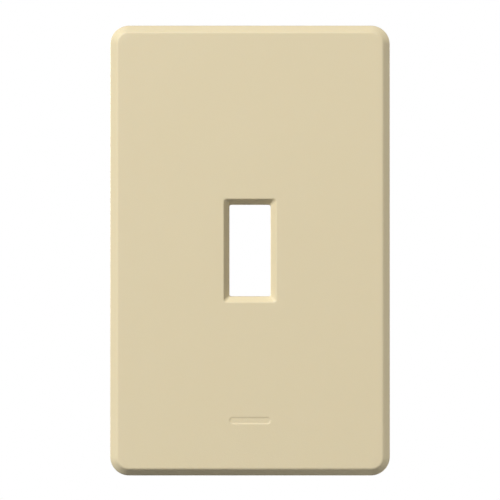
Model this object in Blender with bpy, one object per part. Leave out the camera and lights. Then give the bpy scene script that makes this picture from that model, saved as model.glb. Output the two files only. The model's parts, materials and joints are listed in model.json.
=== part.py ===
"""Screwless wall plate for one toggle switch: a clip-on cover over a screwed-on mounting adapter.

Metres, +Z up, +X to the right as seen from the room. The wall's surface is the plane y = 0, with
the wall on the +Y side and the room on the -Y side. The origin is the centre of the toggle opening
on the wall's surface. A depth is a distance out from the wall, so a point at a depth has y = -depth.

The adapter is screwed to the switch's strap, and the cover pushes on over it. Four ledges inside
the cover's long sides ride over the noses of four springy latches and drop in behind them.
"""

import math

import bmesh
import bpy
from mathutils import Matrix, Vector

MM = 0.001

# Cover: the plate that shows.
COVER_WIDTH = 74.0 * MM
COVER_HEIGHT = 119.0 * MM
COVER_DEPTH = 7.4 * MM
COVER_CORNER = 5.0 * MM
EDGE_BEVEL = 2.0 * MM
FACE_WALL = 2.0 * MM
SIDE_WALL = 1.8 * MM
INNER_CHAMFER = 0.9 * MM

# Toggle opening, with a bevel at the face and a collar behind it.
OPENING_WIDTH = 10.9 * MM
OPENING_HEIGHT = 24.3 * MM
OPENING_CORNER = 0.5 * MM
OPENING_BEVEL = 1.5 * MM
COLLAR_WALL = 1.6 * MM
COLLAR_REAR_DEPTH = 2.0 * MM

# Plain pad sunk low in the face, stand-off ribs behind the face, and the notch for prying it off.
PAD_WIDTH = 11.4 * MM
PAD_HEIGHT = 2.3 * MM
PAD_CORNER = 1.0 * MM
PAD_SINK = 0.2 * MM
PAD_FROM_LOWER_EDGE = 14.7 * MM
STANDOFF_THICKNESS = 1.0 * MM
STANDOFF_FROM_COLLAR = 12.5 * MM
STANDOFF_END_MARGIN = 9.0 * MM
STANDOFF_GAP = 0.3 * MM
PRY_NOTCH_WIDTH = 8.0 * MM
PRY_NOTCH_DEPTH = 1.2 * MM

# Adapter: a shallow tray whose skirt stands inside the cover's sides.
SKIRT_GAP = 1.1 * MM
SKIRT_WALL = 1.5 * MM
SKIRT_REAR_DEPTH = 0.3 * MM
WEB_THICKNESS = 2.0 * MM
WEB_FRONT_GAP = 1.0 * MM
WEB_CHAMFER = 0.4 * MM
STRAP_THICKNESS = 1.2 * MM
WINDOW_GAP = 0.6 * MM
WINDOW_RIM = 1.2 * MM
RIB_THICKNESS = 1.2 * MM
RIB_STRAP_GAP = 0.4 * MM
CROSS_RIB_FROM_END = 13.0 * MM
LONG_RIB_FROM_SIDE = 12.0 * MM

# Number 6-32 flat-head screws, on the spacing that toggle switches have.
SCREW_SPACING = 60.3 * MM
SCREW_LENGTH = 12.7 * MM
SCREW_MAJOR_DIAMETER = 3.5 * MM
THREAD_DEPTH = 0.42 * MM
THREAD_PITCH = 25.4 / 32 * MM
NECK_LENGTH = 0.6 * MM
HEAD_DIAMETER = 7.0 * MM
HEAD_RIM = 0.3 * MM
HEAD_SINK = 0.1 * MM
HEAD_ANGLE = math.radians(82.0)
SLOT_WIDTH = 1.2 * MM
SLOT_DEPTH = 0.9 * MM
SCREW_HOLE_GAP = 0.3 * MM
SEAT_GAP = 0.3 * MM
BOSS_WALL = 1.5 * MM

# Snap latches: springy tongues in the adapter's long sides, and the ledges that they hold.
LATCH_ROOT_FROM_CENTRE = 24.0 * MM
LATCH_LENGTH = 14.0 * MM
LATCH_THICKNESS = 1.3 * MM
LATCH_REAR_DEPTH = 1.2 * MM
LATCH_ROOT_GAP = 0.3 * MM
LATCH_TIP_GAP = 0.6 * MM
LATCH_FLEX_ROOM = 1.3 * MM
NOSE_LENGTH = 4.0 * MM
NOSE_FROM_TIP = 0.3 * MM
NOSE_FRONT_STEP = 0.3 * MM
NOSE_CREST = 0.4 * MM
SNAP_FLANK = 0.5 * MM
SNAP_CLEARANCE = 0.25 * MM
SNAP_PLAY = 0.3 * MM
LEDGE_CREST = 0.5 * MM
LEDGE_LEAD_IN = 0.7 * MM
LEDGE_OVERHANG = 0.5 * MM

# How finely round shapes are cut into flats, and how many rings a turn of the thread has.
CORNER_STEPS = 8
SMALL_CORNER_STEPS = 3
ROUND_STEPS = 32
SCREW_STEPS = 16
RINGS_PER_PITCH = 4
SMOOTH_UNDER = math.radians(25.0)

# How far a cutter runs past what it cuts, how deep a joined shape is sunk into its neighbour, and
# the smallest radius that a corner is given.
PAST = 1.0 * MM
SUNK = 0.3 * MM
LEAST_CORNER = 0.2 * MM

# Places that follow from the sizes above.
FACE_BACK_DEPTH = COVER_DEPTH - FACE_WALL
WEB_FRONT_DEPTH = FACE_BACK_DEPTH - WEB_FRONT_GAP
WEB_BACK_DEPTH = WEB_FRONT_DEPTH - WEB_THICKNESS
CAVITY_HALF_WIDTH = COVER_WIDTH / 2 - SIDE_WALL
SKIRT_HALF_WIDTH = CAVITY_HALF_WIDTH - SKIRT_GAP
SKIRT_HALF_HEIGHT = COVER_HEIGHT / 2 - SIDE_WALL - SKIRT_GAP
SKIRT_CORNER = max(COVER_CORNER - SIDE_WALL - SKIRT_GAP, WEB_CHAMFER + LEAST_CORNER)
CROSS_RIB_FROM_CENTRE = SKIRT_HALF_HEIGHT - CROSS_RIB_FROM_END
LONG_RIB_FROM_CENTRE = SKIRT_HALF_WIDTH - LONG_RIB_FROM_SIDE
LATCH_TIP_FROM_CENTRE = LATCH_ROOT_FROM_CENTRE + LATCH_LENGTH
NOSE_END_FROM_CENTRE = LATCH_TIP_FROM_CENTRE - NOSE_FROM_TIP
SNAP_REACH = SKIRT_GAP - SNAP_CLEARANCE
HEAD_TOP_DEPTH = WEB_FRONT_DEPTH - HEAD_SINK
HEAD_RADIUS = HEAD_DIAMETER / 2
SHANK_RADIUS = SCREW_MAJOR_DIAMETER / 2

IVORY = (0.72, 0.62, 0.42)
IVORY_INSIDE = (0.68, 0.58, 0.40)
ZINC = (0.62, 0.63, 0.62)


def solid(name, points, faces):
    """A mesh object with these points and faces, every face turned to point outwards."""
    mesh = bpy.data.meshes.new(name)
    mesh.from_pydata(points, [], faces)
    shape = bmesh.new()
    shape.from_mesh(mesh)
    bmesh.ops.recalc_face_normals(shape, faces=shape.faces)
    shape.to_mesh(mesh)
    shape.free()
    made = bpy.data.objects.new(name, mesh)
    bpy.context.scene.collection.objects.link(made)
    return made


def stack(name, rings):
    """A solid through rings of the same number of points, closed by a face at each end."""
    count = len(rings[0])
    points = [point for ring in rings for point in ring]
    faces = [tuple(range(count)), tuple(range(len(points) - count, len(points)))]
    for base in range(0, len(points) - count, count):
        for step in range(count):
            after = (step + 1) % count
            faces.append((base + step, base + after, base + count + after, base + count + step))
    return solid(name, points, faces)


def rounded_rectangle(depth, width, height, radius, steps):
    """The points at one depth of a rectangle with round corners, centred on the opening's axis."""
    points = []
    for side_x, side_z, quarter in ((1, 1, 0), (-1, 1, 1), (-1, -1, 2), (1, -1, 3)):
        centre_x = side_x * (width / 2 - radius)
        centre_z = side_z * (height / 2 - radius)
        for step in range(steps + 1):
            angle = math.pi / 2 * (quarter + step / steps)
            x = centre_x + radius * math.cos(angle)
            points.append((x, -depth, centre_z + radius * math.sin(angle)))
    return points


def loft(name, sections, steps=CORNER_STEPS):
    """A solid through rounded rectangles, each given as (depth, width, height, corner radius)."""
    return stack(name, [rounded_rectangle(*section, steps) for section in sections])


def block(name, x, depth, z):
    """A box between the two values of each of x, depth and z."""
    corners = ((0, 0), (1, 0), (1, 1), (0, 1))
    return stack(name, [[(x[i], -out, z[j]) for i, j in corners] for out in depth])


def upright_prism(name, profile, z):
    """A solid with an outline of (x, depth) points that runs between two heights."""
    return stack(name, [[(x, -depth, height) for x, depth in profile] for height in z])


def round_ring(centre_z, depth, radii):
    """The points of one ring about a line along Y, one point for each radius, evenly spaced."""
    ring = []
    for step, radius in enumerate(radii):
        angle = 2 * math.pi * step / len(radii)
        ring.append((radius * math.cos(angle), -depth, centre_z + radius * math.sin(angle)))
    return ring


def turned_rings(centre_z, profile, steps):
    """Rings about a line along Y, one for each (radius, depth) point of a profile."""
    return [round_ring(centre_z, depth, [radius] * steps) for radius, depth in profile]


def combine(target, operation, tools):
    """Joins tools to the target, or cuts them out of it, with live Booleans, and hides them."""
    for tool in tools:
        step = target.modifiers.new(tool.name, "BOOLEAN")
        step.operation = operation
        step.object = tool
        tool.hide_render = True
        tool.display_type = "WIRE"


def join(target, *tools):
    """Adds each tool's shape to the target."""
    combine(target, "UNION", tools)


def cut(target, *tools):
    """Takes each tool's shape out of the target."""
    combine(target, "DIFFERENCE", tools)


def finish(piece, look, origin=(0.0, 0.0, 0.0)):
    """Fixes the Booleans into the piece's mesh, moves its origin, and gives it its material."""
    graph = bpy.context.evaluated_depsgraph_get()
    mesh = bpy.data.meshes.new_from_object(piece.evaluated_get(graph))
    tools = [step.object for step in piece.modifiers]
    piece.modifiers.clear()
    piece.data = mesh
    for tool in tools:
        bpy.data.objects.remove(tool, do_unlink=True)
    mesh.transform(Matrix.Translation(-Vector(origin)))
    piece.location = origin
    mesh.shade_smooth()
    mesh.set_sharp_from_angle(angle=SMOOTH_UNDER)
    mesh.materials.clear()
    mesh.materials.append(look)
    return piece


def material(name, colour, roughness, metallic=0.0):
    """A Principled material with one colour, roughness and metallic value."""
    made = bpy.data.materials.new(name)
    made.use_nodes = True
    shader = made.node_tree.nodes["Principled BSDF"]
    shader.inputs["Base Color"].default_value = (*colour, 1.0)
    shader.inputs["Roughness"].default_value = roughness
    shader.inputs["Metallic"].default_value = metallic
    return made


# --- Cover ---------------------------------------------------------------------------------------


def cover_section(depth, taken_in):
    """The cover's outline at a depth, taken in by the same amount on every side."""
    corner = max(COVER_CORNER - taken_in, LEAST_CORNER)
    return (depth, COVER_WIDTH - 2 * taken_in, COVER_HEIGHT - 2 * taken_in, corner)


def opening_section(depth, grown):
    """The toggle opening's outline at a depth, made larger by the same amount on every side."""
    return (depth, OPENING_WIDTH + 2 * grown, OPENING_HEIGHT + 2 * grown, OPENING_CORNER)


def snap_ledge(side, end):
    """The ledge inside one long side of the cover that drops in behind a latch's nose.

    Its front flank has the slope of the nose's rear flank, and lies SNAP_PLAY behind it. Its
    sloped rear is the lead-in that pushes the latch inwards as the cover goes on.
    """
    slope = SNAP_FLANK / SNAP_REACH
    crest_x = CAVITY_HALF_WIDTH - SNAP_REACH
    front = WEB_BACK_DEPTH + SNAP_FLANK + slope * SNAP_CLEARANCE - SNAP_PLAY
    crest_rear = front - SNAP_FLANK - LEDGE_CREST
    profile = [
        (CAVITY_HALF_WIDTH + SUNK, front),
        (CAVITY_HALF_WIDTH, front),
        (crest_x, front - SNAP_FLANK),
        (crest_x, crest_rear),
        (CAVITY_HALF_WIDTH, crest_rear - LEDGE_LEAD_IN),
        (CAVITY_HALF_WIDTH + SUNK, crest_rear - LEDGE_LEAD_IN),
    ]
    low = NOSE_END_FROM_CENTRE - NOSE_LENGTH - LEDGE_OVERHANG
    high = NOSE_END_FROM_CENTRE + LEDGE_OVERHANG
    return upright_prism(
        f"ledge_{side}_{end}", [(side * x, depth) for x, depth in profile], (end * low, end * high)
    )


def standoff_rib(side):
    """One of the two upright ribs behind the face that stop it being pushed in."""
    middle = side * (OPENING_WIDTH / 2 + COLLAR_WALL + STANDOFF_FROM_COLLAR)
    half_length = COVER_HEIGHT / 2 - STANDOFF_END_MARGIN
    return block(
        f"standoff_rib_{side}",
        (middle - STANDOFF_THICKNESS / 2, middle + STANDOFF_THICKNESS / 2),
        (WEB_FRONT_DEPTH + STANDOFF_GAP, FACE_BACK_DEPTH + SUNK),
        (-half_length, half_length),
    )


def face_pad():
    """The cutter for the plain round-ended pad that is sunk a little into the face."""
    depths = (COVER_DEPTH - PAD_SINK, COVER_DEPTH + PAST)
    pad = loft("face_pad", [(depth, PAD_WIDTH, PAD_HEIGHT, PAD_CORNER) for depth in depths])
    pad.data.transform(Matrix.Translation((0.0, 0.0, PAD_FROM_LOWER_EDGE - COVER_HEIGHT / 2)))
    return pad


def front_cover(look):
    """The clip-on cover: bevelled face and sides, opening with its collar, ribs and ledges."""
    cover = loft(
        "front_cover",
        [
            cover_section(0.0, 0.0),
            cover_section(COVER_DEPTH - EDGE_BEVEL, 0.0),
            cover_section(COVER_DEPTH, EDGE_BEVEL),
        ],
    )
    cavity = loft(
        "cover_cavity",
        [
            cover_section(-PAST, SIDE_WALL),
            cover_section(FACE_BACK_DEPTH - INNER_CHAMFER, SIDE_WALL),
            cover_section(FACE_BACK_DEPTH, SIDE_WALL + INNER_CHAMFER),
        ],
    )
    collar = loft(
        "cover_collar",
        [
            opening_section(COLLAR_REAR_DEPTH, COLLAR_WALL),
            opening_section(FACE_BACK_DEPTH + SUNK, COLLAR_WALL),
        ],
        SMALL_CORNER_STEPS,
    )
    opening = loft(
        "toggle_opening",
        [
            opening_section(-PAST, 0.0),
            opening_section(COVER_DEPTH - OPENING_BEVEL, 0.0),
            opening_section(COVER_DEPTH + PAST, OPENING_BEVEL + PAST),
        ],
        SMALL_CORNER_STEPS,
    )
    pry_notch = block(
        "pry_notch",
        (-PRY_NOTCH_WIDTH / 2, PRY_NOTCH_WIDTH / 2),
        (-PAST, PRY_NOTCH_DEPTH),
        (-COVER_HEIGHT / 2 - PAST, -COVER_HEIGHT / 2 + SIDE_WALL + PAST),
    )
    cut(cover, cavity)
    join(cover, collar, *[standoff_rib(side) for side in (-1, 1)])
    join(cover, *[snap_ledge(side, end) for side in (-1, 1) for end in (-1, 1)])
    cut(cover, opening, pry_notch, face_pad())
    return finish(cover, look)


# --- Adapter -------------------------------------------------------------------------------------


def skirt_section(depth, taken_in):
    """The adapter's outline at a depth, taken in by the same amount on every side."""
    corner = max(SKIRT_CORNER - taken_in, LEAST_CORNER)
    return (depth, 2 * (SKIRT_HALF_WIDTH - taken_in), 2 * (SKIRT_HALF_HEIGHT - taken_in), corner)


def window_section(depth, grown):
    """The outline of the window round the collar, made larger by the same amount on every side."""
    out = COLLAR_WALL + WINDOW_GAP + grown
    return (depth, OPENING_WIDTH + 2 * out, OPENING_HEIGHT + 2 * out, OPENING_CORNER + WINDOW_GAP)


def stiffening_ribs():
    """The ribs on the adapter's back: two across it, two along it, and a spine at each end."""
    depth = (STRAP_THICKNESS + RIB_STRAP_GAP, WEB_BACK_DEPTH + SUNK)
    half = RIB_THICKNESS / 2
    across = SKIRT_HALF_WIDTH - SKIRT_WALL + SUNK
    spine_start = OPENING_HEIGHT / 2 + COLLAR_WALL + WINDOW_GAP + WINDOW_RIM / 2
    ribs = []
    for end in (-1, 1):
        middle = end * CROSS_RIB_FROM_CENTRE
        ribs.append(block(f"cross_rib_{end}", (-across, across), depth, (middle - half, middle + half)))
        ribs.append(block(f"spine_{end}", (-half, half), depth, (end * spine_start, middle)))
    for side in (-1, 1):
        middle = side * LONG_RIB_FROM_CENTRE
        span = (-CROSS_RIB_FROM_CENTRE, CROSS_RIB_FROM_CENTRE)
        ribs.append(block(f"long_rib_{side}", (middle - half, middle + half), depth, span))
    return ribs


def screw_boss(end):
    """The round boss behind one screw hole, whose flat end bears on the switch's strap."""
    radius = HEAD_RADIUS + SEAT_GAP + BOSS_WALL
    profile = [(radius, STRAP_THICKNESS), (radius, WEB_BACK_DEPTH + SUNK)]
    return stack(f"screw_boss_{end}", turned_rings(end * SCREW_SPACING / 2, profile, ROUND_STEPS))


def screw_seat(end):
    """The cutter for one screw: its hole, and a countersink with a gap round the screw's head."""
    hole = SHANK_RADIUS + SCREW_HOLE_GAP
    seat = HEAD_RADIUS + SEAT_GAP
    rim_depth = HEAD_TOP_DEPTH - HEAD_RIM
    cone_length = (seat - hole) / math.tan(HEAD_ANGLE / 2)
    profile = [
        (hole, STRAP_THICKNESS - PAST),
        (hole, rim_depth - cone_length),
        (seat, rim_depth),
        (seat, WEB_FRONT_DEPTH + PAST),
    ]
    return stack(f"screw_seat_{end}", turned_rings(end * SCREW_SPACING / 2, profile, ROUND_STEPS))


def latch_slot(side, end):
    """The cutter that frees one latch from the adapter, with room inside it for the latch to flex."""
    inner = SKIRT_HALF_WIDTH - LATCH_THICKNESS - LATCH_FLEX_ROOM
    return block(
        f"latch_slot_{side}_{end}",
        (side * inner, side * (SKIRT_HALF_WIDTH + PAST)),
        (-PAST, WEB_FRONT_DEPTH + PAST),
        (end * LATCH_ROOT_FROM_CENTRE, end * (LATCH_TIP_FROM_CENTRE + LATCH_TIP_GAP)),
    )


def mounting_adapter(look):
    """The tray that is screwed to the switch: skirt, web, window, bosses, ribs and latch slots."""
    adapter = loft(
        "mounting_adapter",
        [
            skirt_section(SKIRT_REAR_DEPTH, 0.0),
            skirt_section(WEB_FRONT_DEPTH - WEB_CHAMFER, 0.0),
            skirt_section(WEB_FRONT_DEPTH, WEB_CHAMFER),
        ],
    )
    pocket = loft(
        "adapter_pocket",
        [skirt_section(-PAST, SKIRT_WALL), skirt_section(WEB_BACK_DEPTH, SKIRT_WALL)],
        SMALL_CORNER_STEPS,
    )
    rim = loft(
        "window_rim",
        [window_section(STRAP_THICKNESS, WINDOW_RIM), window_section(WEB_BACK_DEPTH + SUNK, WINDOW_RIM)],
        SMALL_CORNER_STEPS,
    )
    window = loft(
        "adapter_window",
        [window_section(-PAST, 0.0), window_section(WEB_FRONT_DEPTH + PAST, 0.0)],
        SMALL_CORNER_STEPS,
    )
    cut(adapter, pocket)
    join(adapter, rim, *stiffening_ribs(), *[screw_boss(end) for end in (-1, 1)])
    cut(adapter, window, *[screw_seat(end) for end in (-1, 1)])
    cut(adapter, *[latch_slot(side, end) for side in (-1, 1) for end in (-1, 1)])
    return finish(adapter, look)


# --- Latches and screws --------------------------------------------------------------------------


def snap_latch(name, side, end, look):
    """One springy tongue with its nose near the tip, and its origin on the line it bends about."""
    outer = SKIRT_HALF_WIDTH
    inner = outer - LATCH_THICKNESS
    crest = outer + SNAP_REACH
    tongue = block(
        name,
        (side * inner, side * outer),
        (LATCH_REAR_DEPTH, WEB_FRONT_DEPTH),
        (end * (LATCH_ROOT_FROM_CENTRE + LATCH_ROOT_GAP), end * LATCH_TIP_FROM_CENTRE),
    )
    nose_profile = [
        (outer - SUNK, WEB_FRONT_DEPTH - NOSE_FRONT_STEP),
        (outer, WEB_FRONT_DEPTH - NOSE_FRONT_STEP),
        (crest, WEB_BACK_DEPTH + SNAP_FLANK + NOSE_CREST),
        (crest, WEB_BACK_DEPTH + SNAP_FLANK),
        (outer, WEB_BACK_DEPTH),
        (outer - SUNK, WEB_BACK_DEPTH),
    ]
    nose = upright_prism(
        f"nose_{side}_{end}",
        [(side * x, depth) for x, depth in nose_profile],
        (end * (NOSE_END_FROM_CENTRE - NOSE_LENGTH), end * NOSE_END_FROM_CENTRE),
    )
    join(tongue, nose)
    pivot = (side * (inner + outer) / 2, -WEB_FRONT_DEPTH, end * LATCH_ROOT_FROM_CENTRE)
    return finish(tongue, look, pivot)


def thread_radius(angle, turns, share):
    """The radius at an angle after some turns of a right-hand thread, cut to a share of its depth."""
    past_crest = (angle / (2 * math.pi) + turns) % 1.0
    return SHANK_RADIUS - THREAD_DEPTH * share * (1.0 - 2.0 * abs(past_crest - 0.5))


def thread_rings(centre_z, start_depth, end_depth):
    """Rings down a shank whose crest winds round it, fading in at the start, to a plain tip."""
    count = round((start_depth - end_depth) / THREAD_PITCH * RINGS_PER_PITCH)
    spacing = (start_depth - end_depth) / count
    rings = []
    for ring in range(1, count):
        share = min(1.0, ring / RINGS_PER_PITCH)
        turns = ring / RINGS_PER_PITCH
        angles = [2 * math.pi * step / SCREW_STEPS for step in range(SCREW_STEPS)]
        radii = [thread_radius(angle, turns, share) for angle in angles]
        rings.append(round_ring(centre_z, start_depth - ring * spacing, radii))
    rings += turned_rings(centre_z, [(SHANK_RADIUS - THREAD_DEPTH, end_depth)], SCREW_STEPS)
    return rings


def plate_screw(name, end, look):
    """One slotted flat-head screw, standing in its seat, with its origin on its own axis."""
    centre_z = end * SCREW_SPACING / 2
    rim_depth = HEAD_TOP_DEPTH - HEAD_RIM
    cone_depth = rim_depth - (HEAD_RADIUS - SHANK_RADIUS) / math.tan(HEAD_ANGLE / 2)
    neck_depth = cone_depth - NECK_LENGTH
    profile = [
        (HEAD_RADIUS, HEAD_TOP_DEPTH),
        (HEAD_RADIUS, rim_depth),
        (SHANK_RADIUS, cone_depth),
        (SHANK_RADIUS, neck_depth),
    ]
    rings = turned_rings(centre_z, profile, SCREW_STEPS)
    screw = stack(name, rings + thread_rings(centre_z, neck_depth, HEAD_TOP_DEPTH - SCREW_LENGTH))
    slot = block(
        f"slot_{end}",
        (-SLOT_WIDTH / 2, SLOT_WIDTH / 2),
        (HEAD_TOP_DEPTH - SLOT_DEPTH, HEAD_TOP_DEPTH + PAST),
        (centre_z - HEAD_RADIUS - PAST, centre_z + HEAD_RADIUS + PAST),
    )
    cut(screw, slot)
    return finish(screw, look, (0.0, -HEAD_TOP_DEPTH, centre_z))


def main():
    """Clears the scene and builds every piece where it sits on the finished wall plate."""
    for obj in list(bpy.data.objects):
        bpy.data.objects.remove(obj, do_unlink=True)
    cover_look = material("ivory_cover", IVORY, 0.45)
    adapter_look = material("ivory_adapter", IVORY_INSIDE, 0.5)
    screw_look = material("zinc_plate", ZINC, 0.35, metallic=1.0)
    pieces = [front_cover(cover_look), mounting_adapter(adapter_look)]
    for end, height in ((1, "upper"), (-1, "lower")):
        pieces.append(plate_screw(f"{height}_screw", end, screw_look))
        for side, hand in ((-1, "left"), (1, "right")):
            pieces.append(snap_latch(f"{height}_{hand}_latch", side, end, adapter_look))
    wall_plate = bpy.data.objects.new("wall_plate", None)
    bpy.context.scene.collection.objects.link(wall_plate)
    for piece in pieces:
        piece.parent = wall_plate


main()
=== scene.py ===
"""The finished look of a screwless toggle-switch wall plate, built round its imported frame.

Metres, +Z up, +X to the right as seen from the room. The wall's surface is the plane y = 0 with the
room on the -Y side, so a point at a depth, its distance out from the wall, has y = -depth.

Every moulded shape is a loft: outlines with round corners, stacked along the depth at stations that
follow a softened path. Geometry Nodes repeat the shapes that come in rows or at four corners, and
cut the screws' threads.
"""

import json
import logging
import math
from collections.abc import Iterable, Sequence
from dataclasses import dataclass, field, replace
from enum import Enum

import bmesh
import bpy
from mathutils import Matrix, Vector


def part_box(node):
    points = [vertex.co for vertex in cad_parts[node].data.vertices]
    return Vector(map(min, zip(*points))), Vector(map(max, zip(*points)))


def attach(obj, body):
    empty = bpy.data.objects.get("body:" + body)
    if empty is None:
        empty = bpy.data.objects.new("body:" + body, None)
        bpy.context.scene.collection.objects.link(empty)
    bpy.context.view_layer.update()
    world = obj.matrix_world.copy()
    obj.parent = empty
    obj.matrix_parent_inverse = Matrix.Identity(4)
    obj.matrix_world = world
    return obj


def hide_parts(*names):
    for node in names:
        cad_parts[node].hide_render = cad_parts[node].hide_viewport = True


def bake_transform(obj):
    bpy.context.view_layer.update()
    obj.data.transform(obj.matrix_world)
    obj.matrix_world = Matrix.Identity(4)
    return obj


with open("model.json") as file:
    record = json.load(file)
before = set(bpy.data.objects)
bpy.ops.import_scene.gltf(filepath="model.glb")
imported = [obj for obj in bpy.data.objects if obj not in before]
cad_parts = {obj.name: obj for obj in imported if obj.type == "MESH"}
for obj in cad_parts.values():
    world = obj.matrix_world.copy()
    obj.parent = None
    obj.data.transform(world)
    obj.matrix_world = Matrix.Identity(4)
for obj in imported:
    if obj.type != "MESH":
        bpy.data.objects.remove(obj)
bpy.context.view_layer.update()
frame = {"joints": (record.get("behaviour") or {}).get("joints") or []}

MM = 0.001
LOG = logging.getLogger("wall_plate")

# How far a joined shape reaches into the one that it stands on, and a cutter past what it cuts.
SUNK = 0.3 * MM
PAST = 1.0 * MM

# How much a moulded side leans, and how softly a moulding's hidden edges and inner corners turn.
DRAFT = 0.05 * MM
HIDDEN_EDGE = 0.2 * MM
INNER_CORNER = 0.4 * MM

# The least radius and the least straight side that an outline keeps as it is taken in.
LEAST_CORNER = 0.02 * MM
LEAST_STRAIGHT = 0.01 * MM

Point = tuple[float, float, float]
Colour = tuple[float, float, float]
Sockets = dict[str, bpy.types.NodeSocket]


def add_object(name: str, data: bpy.types.ID) -> bpy.types.Object:
    """Adds an object to the scene.

    Args:
        name: Its name.
        data: The mesh, lamp or camera that it shows.

    Returns:
        The new object.
    """
    made = bpy.data.objects.new(name, data)
    bpy.context.scene.collection.objects.link(made)
    return made


def joint_height(body: str) -> float:
    """Gives the height of a body's joint.

    Args:
        body: The body that the joint moves.

    Returns:
        The joint's height above the toggle's axis.
    """
    return next(joint["pos_m"][2] for joint in frame["joints"] if joint["child"] == body)


# --- Node trees ----------------------------------------------------------------------------------


class Wiring:
    """Adds nodes to a tree and joins their sockets."""

    def __init__(self, tree: bpy.types.NodeTree) -> None:
        """Starts wiring a tree.

        Args:
            tree: The node tree that the nodes go into.
        """
        self.tree = tree

    def feed(self, socket: bpy.types.NodeSocket, value: object) -> None:
        """Gives an input its value.

        Args:
            socket: The input socket.
            value: An output socket to join to it, or the plain value to hold.
        """
        if isinstance(value, bpy.types.NodeSocket):
            self.tree.links.new(value, socket)
        else:
            socket.default_value = value

    def add(
        self, kind: str, inputs: dict[str | int, object] | None = None, **options: object
    ) -> bpy.types.Node:
        """Adds one node.

        Args:
            kind: The node's type name.
            inputs: What feeds each input, by the input's name or number.
            options: The node's own settings.

        Returns:
            The new node.
        """
        node = self.tree.nodes.new(kind)
        for name, value in options.items():
            setattr(node, name, value)
        for key, value in (inputs or {}).items():
            self.feed(node.inputs[key], value)
        return node

    def math(self, operation: str, *values: object, clamp: bool = False) -> bpy.types.NodeSocket:
        """Adds a Math node.

        Args:
            operation: The node's operation.
            values: What feeds its inputs, in order.
            clamp: True to keep the result between 0 and 1.

        Returns:
            The result's socket.
        """
        inputs = dict(enumerate(values))
        return self.add("ShaderNodeMath", inputs, operation=operation, use_clamp=clamp).outputs[0]

    def vector(self, operation: str, *values: object) -> bpy.types.NodeSocket:
        """Adds a Vector Math node.

        Args:
            operation: The node's operation.
            values: What feeds its inputs, in order.

        Returns:
            The resulting vector's socket.
        """
        node = self.add("ShaderNodeVectorMath", dict(enumerate(values)), operation=operation)
        return node.outputs["Vector"]

    def noise(self, vector: object, scale: object, detail: float) -> bpy.types.NodeSocket:
        """Adds a Noise Texture.

        Args:
            vector: The coordinates that it reads.
            scale: How many features it has in a metre.
            detail: How many finer layers it has.

        Returns:
            The noise's value, from 0 to 1.
        """
        sizes = {"Vector": vector, "Scale": scale, "Detail": detail, "Roughness": 0.6}
        return self.add("ShaderNodeTexNoise", sizes).outputs["Fac"]


class SocketKind(Enum):
    """The kinds of socket that the groups here have."""

    NUMBER = "NodeSocketFloat"
    COUNT = "NodeSocketInt"
    VECTOR = "NodeSocketVector"
    COLOUR = "NodeSocketColor"
    SHAPE = "NodeSocketGeometry"
    FINISH = "NodeSocketMaterial"


class GroupKind(Enum):
    """The two kinds of node group that are built here."""

    SHADER = "ShaderNodeTree"
    GEOMETRY = "GeometryNodeTree"


class NodeGroup:
    """A node group with named inputs and outputs. Each subclass wires one of them, once."""

    name: str = ""
    kind: GroupKind = GroupKind.SHADER
    takes: dict[str, SocketKind] = {}
    gives: dict[str, SocketKind] = {}

    @classmethod
    def tree(cls) -> bpy.types.NodeTree:
        """Gives the group's tree, and builds it at the first call.

        Returns:
            The node tree, ready to be placed or run.
        """
        found = bpy.data.node_groups.get(cls.name)
        if found:
            return found
        made = bpy.data.node_groups.new(cls.name, cls.kind.value)
        for way, sockets in (("INPUT", cls.takes), ("OUTPUT", cls.gives)):
            for name, kind in sockets.items():
                made.interface.new_socket(name=name, in_out=way, socket_type=kind.value)
        wiring = Wiring(made)
        source = wiring.add("NodeGroupInput")
        results = cls.wire(wiring, {name: source.outputs[name] for name in cls.takes})
        sink = wiring.add("NodeGroupOutput")
        for name, socket in results.items():
            wiring.feed(sink.inputs[name], socket)
        return made

    @classmethod
    def wire(cls, wiring: Wiring, given: Sockets) -> Sockets:
        """Wires the inside of the group.

        Args:
            wiring: The tree's wiring.
            given: The group's inputs, by name.

        Returns:
            What feeds each output, by name.
        """
        raise NotImplementedError

    @classmethod
    def place(cls, wiring: Wiring, inputs: dict[str, object]) -> Sockets:
        """Places the group in a material.

        Args:
            wiring: The material's wiring.
            inputs: What feeds each input, by name.

        Returns:
            The group's outputs, by name.
        """
        node = wiring.add("ShaderNodeGroup", node_tree=cls.tree())
        for name, value in inputs.items():
            wiring.feed(node.inputs[name], value)
        return {name: node.outputs[name] for name in cls.gives}


# --- Shared effects ------------------------------------------------------------------------------


class ToneDrift(NodeGroup):
    """A colour that drifts towards another in soft clouds, as the pigment in a moulding does."""

    name = "tone_drift"
    takes = {
        "Vector": SocketKind.VECTOR,
        "Tone": SocketKind.COLOUR,
        "Other Tone": SocketKind.COLOUR,
        "Scale": SocketKind.NUMBER,
        "Amount": SocketKind.NUMBER,
    }
    gives = {"Colour": SocketKind.COLOUR}

    @classmethod
    def wire(cls, wiring: Wiring, given: Sockets) -> Sockets:
        """Mixes the two tones by a wide soft noise.

        Args:
            wiring: The tree's wiring.
            given: The group's inputs, by name.

        Returns:
            The drifting colour.
        """
        clouds = wiring.noise(given["Vector"], given["Scale"], 3.0)
        share = wiring.math("MULTIPLY", clouds, given["Amount"])
        mix = wiring.add("ShaderNodeMix", {"Factor": share}, data_type="RGBA")
        wiring.feed(mix.inputs[6], given["Tone"])
        wiring.feed(mix.inputs[7], given["Other Tone"])
        return {"Colour": mix.outputs[2]}


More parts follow.
